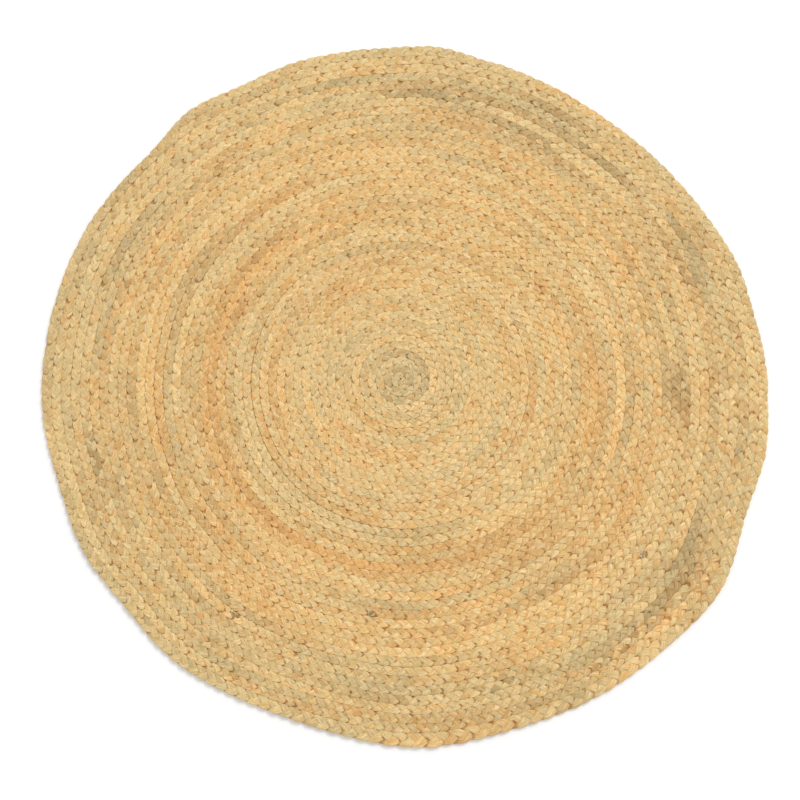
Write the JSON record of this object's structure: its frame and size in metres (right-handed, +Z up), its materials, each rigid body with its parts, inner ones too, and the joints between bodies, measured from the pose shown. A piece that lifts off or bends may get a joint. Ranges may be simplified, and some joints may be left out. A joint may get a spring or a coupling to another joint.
{
  "type": "round braided rug",
  "caption": "Round flat floor rug made of one jute plait wound in a spiral from the centre and laced turn to turn, with a slightly uneven rim.",
  "frame": {"origin": "on the floor, under the middle of the rug's bounding box", "axes": "+Z up out of the face that is seen; seen from above, the plait winds anticlockwise from the centre, and its free end is at the rim, 138 degrees anticlockwise of +X"},
  "size_m": [1.2046, 1.2093, 0.008],
  "materials": {
    "straw_jute": "matt plaited jute, pale golden straw",
    "orange_tan_jute": "matt plaited jute, orange tan",
    "grey_straw_jute": "matt plaited jute, greyish straw",
    "olive_tan_jute": "matt plaited jute, olive tan with brown flecks",
    "sewing_yarn": "matt twisted jute sewing yarn"
  },
  "bodies": {
    "root": {"coil_start": "grey_straw_jute", "plait_length_01": "grey_straw_jute", "plait_length_02": "grey_straw_jute", "plait_length_03": "straw_jute", "plait_length_04": "straw_jute", "plait_length_05": "straw_jute", "plait_length_06": "grey_straw_jute", "plait_length_07": "straw_jute", "plait_length_08": "orange_tan_jute", "plait_length_09": "orange_tan_jute", "plait_length_10": "straw_jute", "plait_length_11": "straw_jute", "plait_length_12": "orange_tan_jute", "plait_length_13": "straw_jute", "plait_length_14": "olive_tan_jute", "plait_length_15": "olive_tan_jute", "plait_length_16": "straw_jute", "plait_length_17": "olive_tan_jute", "outer_tail": "olive_tan_jute", "lacing_yarn_01": "sewing_yarn", "lacing_yarn_02": "sewing_yarn", "lacing_yarn_03": "sewing_yarn", "lacing_yarn_04": "sewing_yarn", "lacing_yarn_05": "sewing_yarn", "lacing_yarn_06": "sewing_yarn", "lacing_yarn_07": "sewing_yarn", "lacing_yarn_08": "sewing_yarn", "lacing_yarn_09": "sewing_yarn", "lacing_yarn_10": "sewing_yarn", "lacing_yarn_11": "sewing_yarn"}
  },
  "joints": []
}
